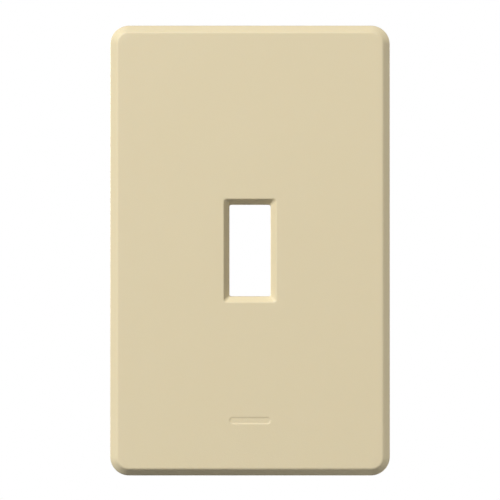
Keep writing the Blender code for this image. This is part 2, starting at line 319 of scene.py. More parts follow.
class MouldGrain(NodeGroup):
    """The fine even texture that a satin mould leaves, as a height and a varying roughness."""

    name = "mould_grain"
    takes = {
        "Vector": SocketKind.VECTOR,
        "Scale": SocketKind.NUMBER,
        "Roughness": SocketKind.NUMBER,
        "Spread": SocketKind.NUMBER,
    }
    gives = {"Height": SocketKind.NUMBER, "Roughness": SocketKind.NUMBER}

    @classmethod
    def wire(cls, wiring: Wiring, given: Sockets) -> Sockets:
        """Adds a fine noise to a slow one for the height, and spreads the roughness with both.

        Args:
            wiring: The tree's wiring.
            given: The group's inputs, by name.

        Returns:
            The height, from about 0 to 1, and the roughness.
        """
        fine = wiring.noise(given["Vector"], given["Scale"], 2.0)
        slow_scale = wiring.math("MULTIPLY", given["Scale"], 0.06)
        slow = wiring.noise(given["Vector"], slow_scale, 2.0)
        height = wiring.math("MULTIPLY_ADD", slow, 0.35, fine)
        centred = wiring.math("SUBTRACT", height, 0.675)
        roughness = wiring.math("MULTIPLY_ADD", centred, given["Spread"], given["Roughness"])
        return {"Height": height, "Roughness": roughness}


class HandlingMarks(NodeGroup):
    """Sparse hairlines, as a mask from 0 to 1, from being packed, wiped and screwed down."""

    name = "handling_marks"
    takes = {
        "Vector": SocketKind.VECTOR,
        "Scale": SocketKind.NUMBER,
        "Stretch": SocketKind.VECTOR,
        "Sparseness": SocketKind.NUMBER,
    }
    gives = {"Mask": SocketKind.NUMBER}

    @classmethod
    def wire(cls, wiring: Wiring, given: Sockets) -> Sockets:
        """Keeps only the highest ridges of a noise that is stretched along one direction.

        Args:
            wiring: The tree's wiring.
            given: The group's inputs, by name.

        Returns:
            The mask.
        """
        stretched = wiring.vector("MULTIPLY", given["Vector"], given["Stretch"])
        ridges = wiring.noise(stretched, given["Scale"], 4.0)
        above = wiring.math("SUBTRACT", ridges, given["Sparseness"])
        return {"Mask": wiring.math("MULTIPLY", above, 12.0, clamp=True)}


# --- Finishes ------------------------------------------------------------------------------------


class Blank:
    """A new material with its wiring, its shader and the coordinates of the object that wears it."""

    def __init__(self, name: str) -> None:
        """Starts the material.

        Args:
            name: The material's name.
        """
        self.material = bpy.data.materials.new(name)
        self.material.use_nodes = True
        self.wiring = Wiring(self.material.node_tree)
        self.shader = self.material.node_tree.nodes["Principled BSDF"]
        self.place = self.wiring.add("ShaderNodeTexCoord").outputs["Object"]

    def coat(self, fixed: dict[str, object]) -> None:
        """Sets the shader's plain values.

        Args:
            fixed: The values, by the input's name.
        """
        for name, value in fixed.items():
            self.shader.inputs[name].default_value = value

    def tint(self, tone: Colour, other_tone: Colour, scale: float, amount: float) -> None:
        """Colours the shader with a tone that drifts towards another.

        Args:
            tone: The main tone.
            other_tone: The tone that it drifts towards.
            scale: How many clouds there are in a metre.
            amount: How far it drifts, from 0 to 1.
        """
        inputs = {
            "Vector": self.place,
            "Tone": (*tone, 1.0),
            "Other Tone": (*other_tone, 1.0),
            "Scale": scale,
            "Amount": amount,
        }
        drift = ToneDrift.place(self.wiring, inputs)
        self.wiring.feed(self.shader.inputs["Base Color"], drift["Colour"])

    def emboss(self, height: object, distance: float, strength: float = 1.0) -> None:
        """Gives the shader its fine relief.

        Args:
            height: The relief's height, as a share of the distance.
            distance: The height in metres that a share of 1 stands for.
            strength: How much of the relief shows.
        """
        bump = self.wiring.add("ShaderNodeBump", {"Height": height})
        bump.inputs["Distance"].default_value = distance
        bump.inputs["Strength"].default_value = strength
        self.wiring.feed(self.shader.inputs["Normal"], bump.outputs["Normal"])


@dataclass(frozen=True)
class MouldedIvory:
    """Ivory moulded plastic with a satin mould texture."""

    name: str
    tone: Colour
    other_tone: Colour
    roughness: float
    roughness_spread: float
    grain_per_metre: float
    grain_height: float
    marks: float
    gloss: float = 0.35
    subsurface: float = 0.08
    subsurface_reach: float = 0.6 * MM
    clouds_per_metre: float = 45.0
    cloud_amount: float = 0.8
    hairlines_per_metre: float = 260.0
    hairline_stretch: Point = (1.0, 1.0, 0.06)
    hairline_sparseness: float = 0.66

    def make(self) -> bpy.types.Material:
        """Builds the material.

        Returns:
            The finished material.
        """
        blank = Blank(self.name)
        wiring = blank.wiring
        blank.tint(self.tone, self.other_tone, self.clouds_per_metre, self.cloud_amount)
        grain = MouldGrain.place(
            wiring,
            {
                "Vector": blank.place,
                "Scale": self.grain_per_metre,
                "Roughness": self.roughness,
                "Spread": self.roughness_spread,
            },
        )
        marks = HandlingMarks.place(
            wiring,
            {
                "Vector": blank.place,
                "Scale": self.hairlines_per_metre,
                "Stretch": self.hairline_stretch,
                "Sparseness": self.hairline_sparseness,
            },
        )
        worn = wiring.math("MULTIPLY_ADD", marks["Mask"], self.marks, grain["Roughness"], clamp=True)
        wiring.feed(blank.shader.inputs["Roughness"], worn)
        blank.emboss(grain["Height"], self.grain_height)
        blank.coat(
            {
                "IOR": 1.5,
                "Specular IOR Level": self.gloss,
                "Subsurface Weight": self.subsurface,
                "Subsurface Radius": (1.0, 0.75, 0.45),
                "Subsurface Scale": self.subsurface_reach,
            }
        )
        return blank.material


@dataclass(frozen=True)
class ZincPlate:
    """Bright zinc plate on a turned steel screw, with lathe rings round the screw's own axis."""

    name: str
    tone: Colour
    other_tone: Colour
    axis_height: float
    roughness: float = 0.34
    roughness_spread: float = 0.35
    clouds_per_metre: float = 420.0
    grain_per_metre: float = 9000.0
    grain_share: float = 0.5
    hairlines_per_metre: float = 1500.0
    hairline_stretch: Point = (1.0, 0.2, 0.15)
    hairline_sparseness: float = 0.6
    hairline_share: float = -0.6
    ring_pitch: float = 0.11 * MM
    ring_height: float = 0.004 * MM
    ring_strength: float = 0.7
    ring_wobble: float = 3.0
    wobbles_per_metre: float = 900.0
    turned_face: float = 0.9

    def rings(self, blank: Blank) -> bpy.types.NodeSocket:
        """Wires the lathe rings, which show only on faces square to the screw's axis.

        Args:
            blank: The material that they go into.

        Returns:
            The rings' height, from -1 to 1.
        """
        wiring = blank.wiring
        folded = wiring.vector("ABSOLUTE", blank.place)
        from_axis = wiring.vector("SUBTRACT", folded, (0.0, 0.0, self.axis_height))
        flat = wiring.vector("MULTIPLY", from_axis, (1.0, 0.0, 1.0))
        radius = wiring.add("ShaderNodeVectorMath", {0: flat}, operation="LENGTH").outputs["Value"]
        turns = wiring.math("MULTIPLY", radius, 2 * math.pi / self.ring_pitch)
        wobble = wiring.noise(blank.place, self.wobbles_per_metre, 2.0)
        turned = wiring.math("SINE", wiring.math("MULTIPLY_ADD", wobble, self.ring_wobble, turns))
        facing = wiring.add("ShaderNodeNewGeometry").outputs["Normal"]
        sides = wiring.add("ShaderNodeSeparateXYZ", {0: wiring.vector("ABSOLUTE", facing)})
        square_on = wiring.math("GREATER_THAN", sides.outputs["Y"], self.turned_face)
        return wiring.math("MULTIPLY", turned, square_on)

    def make(self) -> bpy.types.Material:
        """Builds the material. Both screws share it, because their axes mirror each other.

        Returns:
            The finished material.
        """
        blank = Blank(self.name)
        wiring = blank.wiring
        rings = self.rings(blank)
        blank.tint(self.tone, self.other_tone, self.clouds_per_metre, 1.0)
        grain = MouldGrain.place(
            wiring,
            {
                "Vector": blank.place,
                "Scale": self.grain_per_metre,
                "Roughness": self.roughness,
                "Spread": self.roughness_spread,
            },
        )
        marks = HandlingMarks.place(
            wiring,
            {
                "Vector": blank.place,
                "Scale": self.hairlines_per_metre,
                "Stretch": self.hairline_stretch,
                "Sparseness": self.hairline_sparseness,
            },
        )
        lifted = wiring.math("MULTIPLY_ADD", grain["Height"], self.grain_share, rings)
        height = wiring.math("MULTIPLY_ADD", marks["Mask"], self.hairline_share, lifted)
        wiring.feed(blank.shader.inputs["Roughness"], grain["Roughness"])
        blank.emboss(height, self.ring_height, self.ring_strength)
        blank.coat({"Metallic": 1.0})
        return blank.material


@dataclass(frozen=True)
class StudioPaper:
    """Plain pale paper under the object, lit from behind so that it stays evenly bright."""

    name: str
    tone: Colour
    warmth: float = 0.98
    clouds_per_metre: float = 8.0
    glow: float = 0.32

    def make(self) -> bpy.types.Material:
        """Builds the material.

        Returns:
            The finished material.
        """
        blank = Blank(self.name)
        red, green, blue = self.tone
        blank.tint(self.tone, (red, green, blue * self.warmth), self.clouds_per_metre, 0.5)
        blank.coat(
            {
                "Roughness": 0.9,
                "Emission Color": (1.0, 1.0, 1.0, 1.0),
                "Emission Strength": self.glow,
            }
        )
        return blank.material


# --- Outlines, paths and lofts -------------------------------------------------------------------


@dataclass(frozen=True)
class Outline:
    """A rectangle with round corners, seen from the room."""

    width: float
    height: float
    corner: float
    corner_rate: float = 1.0
    steps: int = 12
    centre_z: float = 0.0

    def grown(self, amount: float) -> "Outline":
        """Moves every side of the outline out.

        Args:
            amount: How far each side moves out. A negative amount takes the outline in.

        Returns:
            The new outline.
        """
        return replace(
            self,
            width=self.width + 2 * amount,
            height=self.height + 2 * amount,
            corner=max(self.corner + self.corner_rate * amount, LEAST_CORNER),
        )

    def ring(self, depth: float) -> list[Point]:
        """Places the outline's points at a depth.

        Args:
            depth: The distance out from the wall.

        Returns:
            The points, the same number for any size.
        """
        radius = min(self.corner, min(self.width, self.height) / 2 - LEAST_STRAIGHT / 2)
        points = []
        for side_x, side_z, quarter in ((1, 1, 0), (-1, 1, 1), (-1, -1, 2), (1, -1, 3)):
            middle_x = side_x * (self.width / 2 - radius)
            middle_z = self.centre_z + side_z * (self.height / 2 - radius)
            for step in range(self.steps + 1):
                angle = math.pi / 2 * (quarter + step / self.steps)
                x = middle_x + radius * math.cos(angle)
                points.append((x, -depth, middle_z + radius * math.sin(angle)))
        return points


def circle(radius: float, centre_z: float = 0.0, steps: int = 12) -> Outline:
    """A round outline on the plate's centre line.

    Args:
        radius: The circle's radius.
        centre_z: The height of its centre.
        steps: How many flats each quarter has.

    Returns:
        The outline.
    """
    return Outline(2 * radius, 2 * radius, radius, steps=steps, centre_z=centre_z)


@dataclass(frozen=True)
class Turn:
    """One corner of a section path: how far out of the outline, how deep, and how soft."""

    out: float
    depth: float
    soft: float = 0.0


def soften(path: Sequence[Turn], steps: int = 5) -> list[tuple[float, float]]:
    """Rounds the inner corners of a section path.

    Args:
        path: The path's corners. The first and last are ends and stay as they are.
        steps: How many flats each rounding has.

    Returns:
        The path's stations, as (out, depth).
    """
    stations = [(path[0].out, path[0].depth)]
    for before, here, after in zip(path, path[1:], path[2:]):
        corner = Vector((here.out, here.depth))
        back = Vector((before.out, before.depth)) - corner
        ahead = Vector((after.out, after.depth)) - corner
        half = back.angle(ahead) / 2
        if here.soft <= 0.0 or half > math.radians(89.0):
            stations.append(tuple(corner))
            continue
        run = min(here.soft / math.tan(half), 0.49 * back.length, 0.49 * ahead.length)
        start = corner + back.normalized() * run
        end = corner + ahead.normalized() * run
        middle = (back.normalized() + ahead.normalized()).normalized()
        centre = corner + middle * (run / math.cos(half))
        first, last = start - centre, end - centre
        sweep = first.angle_signed(last)
        for step in range(steps + 1):
            stations.append(tuple(centre + Matrix.Rotation(-sweep * step / steps, 2) @ first))
    stations.append((path[-1].out, path[-1].depth))
    return stations


def bridge(name: str, rings: Sequence[Sequence[Point]], closed: bool) -> bpy.types.Object:
    """Joins rings of points into a closed skin.

    Args:
        name: The new object's name.
        rings: The rings, all with the same number of points.
        closed: True if the last ring joins the first, False if each end gets a flat cap.

    Returns:
        The new object, with its faces pointing out.
    """
    shape = bmesh.new()
    loops = [[shape.verts.new(point) for point in ring] for ring in rings]
    pairs = list(zip(loops, loops[1:] + loops[:1])) if closed else list(zip(loops, loops[1:]))
    for low, high in pairs:
        for at in range(len(low)):
            after = (at + 1) % len(low)
            shape.faces.new((low[at], low[after], high[after], high[at]))
    if not closed:
        shape.faces.new(loops[0])
        shape.faces.new(loops[-1])
    bmesh.ops.recalc_face_normals(shape, faces=shape.faces)
    mesh = bpy.data.meshes.new(name)
    shape.to_mesh(mesh)
    shape.free()
    return add_object(name, mesh)


def loft(name: str, outline: Outline, path: Sequence[Turn]) -> bpy.types.Object:
    """Stacks one outline along a section path, with a flat cap at each end.

    Args:
        name: The new object's name.
        outline: The outline that the path's out values are measured from.
        path: The section path.

    Returns:
        The new object.
    """
    rings = [outline.grown(out).ring(depth) for out, depth in soften(path)]
    return bridge(name, rings, closed=False)


def prism(
    name: str, profile: Sequence[tuple[float, float]], span: tuple[float, float]
) -> bpy.types.Object:
    """Runs a profile upwards between two heights.

    Args:
        name: The new object's name.
        profile: The profile's corners, as (x, depth).
        span: The two heights.

    Returns:
        The new object.
    """
    rings = [[(x, -depth, height) for x, depth in profile] for height in span]
    return bridge(name, rings, closed=False)


# --- Working on shapes ---------------------------------------------------------------------------


class Cut(Enum):
    """What a tool shape does to the shape that it meets."""

    JOIN = "UNION"
    REMOVE = "DIFFERENCE"


def bake(piece: bpy.types.Object) -> bpy.types.Object:
    """Fixes a piece's modifiers into its mesh.

    Args:
        piece: The piece, with its modifiers live.

    Returns:
        The same piece, with none.
    """
    graph = bpy.context.evaluated_depsgraph_get()
    mesh = bpy.data.meshes.new_from_object(piece.evaluated_get(graph))
    piece.modifiers.clear()
    piece.data = mesh
    return piece


def work(piece: bpy.types.Object, cut: Cut, tools: Iterable[bpy.types.Object]) -> bpy.types.Object:
    """Joins tool shapes to a piece, or removes them from it, and clears the tools away.

    Args:
        piece: The piece to work on.
        cut: Whether the tools are joined or removed.
        tools: The tool shapes.

    Returns:
        The same piece.
    """
    tools = list(tools)
    for tool in tools:
        step = piece.modifiers.new(tool.name, "BOOLEAN")
        step.operation = cut.value
        step.object = tool
    bake(piece)
    for tool in tools:
        bpy.data.objects.remove(tool, do_unlink=True)
    return piece


def dress(
    piece: bpy.types.Object, finish: bpy.types.Material, crease: float = 32.0
) -> bpy.types.Object:
    """Cleans a piece's mesh, shades it by weighted normals, and gives it its finish.

    Args:
        piece: The piece.
        finish: Its material.
        crease: The angle in degrees over which an edge stays sharp.

    Returns:
        The same piece.
    """
    speck = 0.0005 * MM
    shape = bmesh.new()
    shape.from_mesh(piece.data)
    bmesh.ops.remove_doubles(shape, verts=shape.verts, dist=speck)
    bmesh.ops.dissolve_degenerate(shape, edges=shape.edges, dist=speck)
    strays = [edge for edge in shape.edges if not edge.link_faces]
    bmesh.ops.delete(shape, geom=strays, context="EDGES")
    shape.to_mesh(piece.data)
    shape.free()
    piece.data.shade_smooth()
    piece.data.set_sharp_from_angle(angle=math.radians(crease))
    weighted = piece.modifiers.new("weighted_normals", "WEIGHTED_NORMAL")
    weighted.keep_sharp = True
    weighted.weight = 80
    bake(piece)
    piece.data.materials.clear()
    piece.data.materials.append(finish)
    return piece


class ShapeTree(NodeGroup):
    """A Geometry Nodes tree that is run on a shape and gives a plain mesh."""

    kind = GroupKind.GEOMETRY
    gives = {"Shape": SocketKind.SHAPE}

    @classmethod
    def finish_off(
        cls, wiring: Wiring, shape: bpy.types.NodeSocket, finish: bpy.types.NodeSocket
    ) -> Sockets:
        """Ends the tree with Realize Instances and Set Material.

        Args:
            wiring: The tree's wiring.
            shape: The geometry so far.
            finish: The material.

        Returns:
            The tree's output.
        """
        real = wiring.add("GeometryNodeRealizeInstances", {"Geometry": shape})
        worn = wiring.add(
            "GeometryNodeSetMaterial", {"Geometry": real.outputs[0], "Material": finish}
        )
        return {"Shape": worn.outputs[0]}

    @classmethod
    def run(cls, shape: bpy.types.Object, sizes: dict[str, object]) -> bpy.types.Object:
        """Runs the tree on an object and fixes the result into its mesh.

        Args:
            shape: The object that the tree works on.
            sizes: The tree's inputs, by name.

        Returns:
            The same object, with the result as its mesh.
        """
        step = shape.modifiers.new(cls.name, "NODES")
        step.node_group = cls.tree()
        for item in step.node_group.interface.items_tree:
            if item.in_out == "INPUT" and item.name in sizes:
                step[item.identifier] = sizes[item.name]
        return bake(shape)


class RowOfShapes(ShapeTree):
    """Repeats a shape in an evenly spaced row that is centred on where the shape stands."""

    name = "row_of_shapes"
    takes = {
        "Shape": SocketKind.SHAPE,
        "Count": SocketKind.COUNT,
        "Spacing": SocketKind.VECTOR,
        "Finish": SocketKind.FINISH,
    }

    @classmethod
    def wire(cls, wiring: Wiring, given: Sockets) -> Sockets:
        """Sets the shape on a line of points that starts half the row's length back.

        Args:
            wiring: The tree's wiring.
            given: The tree's inputs, by name.

        Returns:
            The row.
        """
        gaps = wiring.math("SUBTRACT", given["Count"], 1.0)
        half_back = wiring.math("MULTIPLY", gaps, -0.5)
        start = wiring.add("ShaderNodeVectorMath", {0: given["Spacing"]}, operation="SCALE")
        wiring.feed(start.inputs["Scale"], half_back)
        line = wiring.add(
            "GeometryNodeMeshLine",
            {
                "Count": given["Count"],
                "Start Location": start.outputs["Vector"],
                "Offset": given["Spacing"],
            },
        )
        placed = wiring.add(
            "GeometryNodeInstanceOnPoints", {"Points": line.outputs[0], "Instance": given["Shape"]}
        )
        return cls.finish_off(wiring, placed.outputs[0], given["Finish"])


class FourCorners(ShapeTree):
    """Sets a shape at the four corners of a rectangle, turned to face in on the left-hand side.

    The shape is modelled on the origin as it stands on the right-hand side, the same above and
    below, so that half a turn about the depth line faces it the other way.
    """

    name = "four_corners"
    takes = {
        "Shape": SocketKind.SHAPE,
        "Half Width": SocketKind.NUMBER,
        "Half Height": SocketKind.NUMBER,
        "Finish": SocketKind.FINISH,
    }

    @classmethod
    def wire(cls, wiring: Wiring, given: Sockets) -> Sockets:
        """Makes a row of two up the right-hand side and a turned copy of it for the left.

        Args:
            wiring: The tree's wiring.
            given: The tree's inputs, by name.

        Returns:
            The four shapes.
        """
        low = wiring.add("ShaderNodeCombineXYZ", {"X": given["Half Width"]})
        wiring.feed(low.inputs["Z"], wiring.math("MULTIPLY", given["Half Height"], -1.0))
        rise = wiring.add(
            "ShaderNodeCombineXYZ", {"Z": wiring.math("MULTIPLY", given["Half Height"], 2.0)}
        )
        line = wiring.add(
            "GeometryNodeMeshLine",
            {"Count": 2, "Start Location": low.outputs[0], "Offset": rise.outputs[0]},
        )
        right = wiring.add(
            "GeometryNodeInstanceOnPoints", {"Points": line.outputs[0], "Instance": given["Shape"]}
        )
        left = wiring.add(
            "GeometryNodeTransform",
            {"Geometry": right.outputs[0], "Rotation": (0.0, math.pi, 0.0)},
        )
        both = wiring.add("GeometryNodeJoinGeometry")
        for side in (right, left):
            wiring.feed(both.inputs[0], side.outputs[0])
        return cls.finish_off(wiring, both.outputs[0], given["Finish"])


class CutThread(ShapeTree):
    """Cuts a helical thread into a round rod that stands on its own axis, the Z line."""

    name = "cut_thread"
    takes = {
        "Length": SocketKind.NUMBER,
        "Radius": SocketKind.NUMBER,
        "Depth": SocketKind.NUMBER,
        "Pitch": SocketKind.NUMBER,
        "Rings": SocketKind.COUNT,
        "Finish": SocketKind.FINISH,
    }
    steps = 40
    groove_slope = -2.6
    groove_peak = 1.15
    fade_in_turns = 1.2
    tip_turns = 0.8

    @classmethod
    def wire(cls, wiring: Wiring, given: Sockets) -> Sockets:
        """Pulls each point of a fine cylinder in by where it stands between two crests.

        The groove fades in at the start of the rod, and the tip tapers to the root of the thread.

        Args:
            wiring: The tree's wiring.
            given: The tree's inputs, by name.

        Returns:
            The threaded rod, from the origin upwards.
        """
        rod = wiring.add(
            "GeometryNodeMeshCylinder",
            {
                "Vertices": cls.steps,
                "Side Segments": given["Rings"],
                "Radius": given["Radius"],
                "Depth": given["Length"],
            },
        )
        half = wiring.math("MULTIPLY", given["Length"], 0.5)
        lift = wiring.add("ShaderNodeCombineXYZ", {"Z": half})
        stood = wiring.add(
            "GeometryNodeTransform",
            {"Geometry": rod.outputs["Mesh"], "Translation": lift.outputs[0]},
        )
        position = wiring.add("GeometryNodeInputPosition").outputs[0]
        x, y, z = wiring.add("ShaderNodeSeparateXYZ", {0: position}).outputs
        turns = wiring.math("DIVIDE", z, given["Pitch"])
        angle = wiring.math("DIVIDE", wiring.math("ARCTAN2", y, x), 2 * math.pi)
        phase = wiring.math("FLOORED_MODULO", wiring.math("SUBTRACT", turns, angle), 1.0)
        from_root = wiring.math("ABSOLUTE", wiring.math("SUBTRACT", phase, 0.5))
        groove = wiring.math("MULTIPLY_ADD", from_root, cls.groove_slope, cls.groove_peak)
        clipped = wiring.math("MAXIMUM", wiring.math("MINIMUM", groove, 1.0), 0.0)
        fade = wiring.math("MINIMUM", wiring.math("DIVIDE", turns, cls.fade_in_turns), 1.0)
        length_turns = wiring.math("DIVIDE", given["Length"], given["Pitch"])
        left = wiring.math("SUBTRACT", length_turns, turns)
        tip = wiring.math("SUBTRACT", 1.0, wiring.math("DIVIDE", left, cls.tip_turns))
        share = wiring.math("MAXIMUM", wiring.math("MULTIPLY", clipped, fade), tip)
        pull = wiring.math("MULTIPLY", share, given["Depth"])
        wanted = wiring.math("SUBTRACT", given["Radius"], pull)
        scale = wiring.math("DIVIDE", wanted, given["Radius"])
        inward = wiring.add("ShaderNodeCombineXYZ", {"X": wiring.math("MULTIPLY", x, scale)})
        wiring.feed(inward.inputs["Y"], wiring.math("MULTIPLY", y, scale))
        wiring.feed(inward.inputs["Z"], z)
        cut = wiring.add(
            "GeometryNodeSetPosition",
            {"Geometry": stood.outputs[0], "Position": inward.outputs[0]},
        )
        return cls.finish_off(wiring, cut.outputs[0], given["Finish"])


@dataclass(frozen=True)
class PinMarks:
    """The faint round marks that a mould's ejector pins leave, in two upright rows."""

    finish: bpy.types.Material
    surface: float
    across: float
    up: float
    rows: int = 4
    steps: int = 9
    dished_from: float = 0.5
    dish: float = 0.8
    radius: float = 1.75 * MM
    sink: float = 0.15 * MM
    past: float = 0.6 * MM

    def cutter(self) -> bpy.types.Object:
        """Makes the cutter for the marks in a surface that faces the wall.

        Returns:
            The cutter: low discs with a crisp rim and a slightly dished floor.
        """
        path = [
            Turn(0.0, self.surface - self.past),
            Turn(0.0, self.surface + self.sink),
            Turn(-self.dished_from * self.radius, self.surface + self.dish * self.sink),
        ]
        pins = loft("pin_marks", circle(self.radius, steps=self.steps), path)
        column = {"Count": self.rows, "Spacing": (0.0, 0.0, self.up), "Finish": self.finish}
        row = {"Count": 2, "Spacing": (self.across, 0.0, 0.0), "Finish": self.finish}
        return RowOfShapes.run(RowOfShapes.run(pins, column), row)


# --- The cover -----------------------------------------------------------------------------------


@dataclass
class FrontCover:
    """The clip-on cover: face, bevels, opening with its collar, ledges, ribs and notch."""

    finish: bpy.types.Material
    corner: float = 5.0 * MM
    edge_bevel: float = 2.0 * MM
    face_wall: float = 2.0 * MM
    side_wall: float = 1.8 * MM
    inner_chamfer: float = 0.9 * MM
    opening_width: float = 10.9 * MM
    opening_height: float = 24.3 * MM
    opening_corner: float = 0.5 * MM
    opening_corner_rate: float = 0.2
    opening_bevel: float = 1.5 * MM
    collar_wall: float = 1.6 * MM
    collar_rear: float = 2.0 * MM
    opening_front_soft: float = 0.55 * MM
    opening_throat_soft: float = 0.5 * MM
    rear_rim_soft: float = 0.25 * MM
    edge_bevel_soft: float = 0.9 * MM
    flat_run: float = 2.0 * MM
    pad_width: float = 11.4 * MM
    pad_height: float = 2.3 * MM
    pad_sink: float = 0.2 * MM
    pad_slope: float = 0.5 * MM
    pad_soft: float = 1.2 * MM
    pad_from_lower_edge: float = 14.7 * MM
    ledge_reach: float = 0.85 * MM
    ledge_front: float = 2.75 * MM
    ledge_crest_start: float = 0.55 * MM
    ledge_crest_end: float = 0.92 * MM
    ledge_depth: float = 1.7 * MM
    ledge_half_length: float = 2.5 * MM
    latch_tip_to_ledge: float = 2.3 * MM
    rib_from_centre: float = 19.55 * MM
    rib_thickness: float = 1.0 * MM
    rib_end_margin: float = 9.0 * MM
    rib_gap: float = 0.3 * MM
    notch_width: float = 8.0 * MM
    notch_depth: float = 1.2 * MM
    pins_across: float = 52.0 * MM
    pins_up: float = 32.0 * MM

    def __post_init__(self) -> None:
        """Takes the overall sizes from the frame."""
        low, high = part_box("front_cover")
        self.width = high.x - low.x
        self.height = high.z - low.z
        self.depth = -low.y
        self.face_back = self.depth - self.face_wall
        nose_low, nose_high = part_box("upper_right_latch")
        self.ledge_height = nose_high.z - self.latch_tip_to_ledge
        self.web_front = -nose_low.y

    def shell(self) -> bpy.types.Object:
        """Lofts the cover's skin: from the opening, through the face and side, to the collar.

        Returns:
            The shell, with every edge softened.
        """
        opening = Outline(
            self.opening_width,
            self.opening_height,
            self.opening_corner,
            corner_rate=self.opening_corner_rate,
        )
        edge = Outline(self.width, self.height, self.corner)
        wall, chamfer, bevel = -self.side_wall, self.inner_chamfer, self.edge_bevel
        around_opening = [
            Turn(self.opening_bevel + self.flat_run, self.depth),
            Turn(self.opening_bevel, self.depth, self.opening_front_soft),
            Turn(0.0, self.depth - self.opening_bevel, self.opening_throat_soft),
            Turn(0.0, self.collar_rear, HIDDEN_EDGE),
            Turn(self.collar_wall, self.collar_rear, HIDDEN_EDGE),
            Turn(self.collar_wall, self.face_back, INNER_CORNER),
            Turn(self.collar_wall + self.flat_run, self.face_back),
        ]
        around_edge = [
            Turn(wall - chamfer - self.flat_run, self.face_back),
            Turn(wall - chamfer, self.face_back, INNER_CORNER),
            Turn(wall, self.face_back - chamfer, INNER_CORNER),
            Turn(wall, 0.0, HIDDEN_EDGE),
            Turn(0.0, 0.0, self.rear_rim_soft),
            Turn(0.0, self.depth - bevel, self.edge_bevel_soft),
            Turn(-bevel, self.depth, self.edge_bevel_soft),
            Turn(-bevel - self.flat_run, self.depth),
        ]
        rings = [opening.grown(out).ring(depth) for out, depth in soften(around_opening)]
        rings += [edge.grown(out).ring(depth) for out, depth in soften(around_edge)]
        return bridge("cover_shell", rings, closed=True)

    def ledges(self) -> bpy.types.Object:
        """Makes the four ledges that drop in behind the latches' noses.

        Returns:
            The ledges, sunk a little into the side walls.
        """
        wall = self.width / 2 - self.side_wall
        front, ease = self.ledge_front, 0.1 * MM
        crest_start, crest_end = front - self.ledge_crest_start, front - self.ledge_crest_end
        rear = front - self.ledge_depth
        profile = [
            (SUNK, front),
            (0.0, front),
            (0.8 * ease - self.ledge_reach, crest_start + ease),
            (-self.ledge_reach, crest_start),
            (-self.ledge_reach, crest_end),
            (ease - self.ledge_reach, crest_end - 1.3 * ease),
            (0.0, rear),
            (SUNK, rear),
        ]
        ledge = prism("ledges", profile, (-self.ledge_half_length, self.ledge_half_length))
        places = {"Half Width": wall, "Half Height": self.ledge_height, "Finish": self.finish}
        return FourCorners.run(ledge, places)

    def ribs(self) -> bpy.types.Object:
        """Makes the two upright stand-off ribs behind the face.

        Returns:
            The ribs, sunk a little into the face's back.
        """
        length = self.height - 2 * self.rib_end_margin
        half_top = self.rib_thickness / 2 - DRAFT
        top = self.web_front + self.rib_gap
        path = [
            Turn(DRAFT, self.face_back + SUNK),
            Turn(-DRAFT, top, HIDDEN_EDGE),
            Turn(-half_top, top),
        ]
        rib = loft("ribs", Outline(self.rib_thickness, length, half_top, steps=6), path)
        spacing = (2 * self.rib_from_centre, 0.0, 0.0)
        return RowOfShapes.run(rib, {"Count": 2, "Spacing": spacing, "Finish": self.finish})

    def pad(self) -> bpy.types.Object:
        """Makes the cutter for the plain round-ended pad sunk low in the face.

        Returns:
            The cutter, with gently sloped sides.
        """
        floor = self.depth - self.pad_sink
        slope = self.pad_slope / self.pad_sink
        height = self.pad_from_lower_edge - self.height / 2
        outline = Outline(self.pad_width, self.pad_height, self.pad_height / 2, centre_z=height)
        rise = 0.3 * MM
        path = [
            Turn(-self.pad_slope - rise, floor),
            Turn(-self.pad_slope, floor, self.pad_soft),
            Turn(slope * rise, self.depth + rise),
        ]
        return loft("face_pad", outline, path)

    def notch(self) -> bpy.types.Object:
        """Makes the cutter for the prying notch in the lower edge.

        Returns:
            The cutter, with softened inner corners.
        """
        half, depth, soft, steps = self.notch_width / 2, self.notch_depth, INNER_CORNER, 5
        profile = [(-half, -PAST)]
        for side, first in ((-1, 0), (1, 1)):
            for step in range(steps + 1):
                angle = math.pi / 2 * (step / steps + first)
                x = side * (half - soft) - soft * math.cos(angle)
                profile.append((x, depth - soft + soft * math.sin(angle)))
        profile.append((half, -PAST))
        foot = -self.height / 2
        return prism("pry_notch", profile, (foot - PAST, foot + self.side_wall + PAST))

    def build(self) -> bpy.types.Object:
        """Builds the cover and ties it to its body.

        Returns:
            The finished piece.
        """
        piece = self.shell()
        work(piece, Cut.JOIN, [self.ribs(), self.ledges()])
        pins = PinMarks(self.finish, self.face_back, self.pins_across, self.pins_up)
        work(piece, Cut.REMOVE, [self.pad(), self.notch(), pins.cutter()])
        dress(piece, self.finish)
        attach(piece, "cover")
        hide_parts("front_cover")
        return piece


# --- The adapter ---------------------------------------------------------------------------------


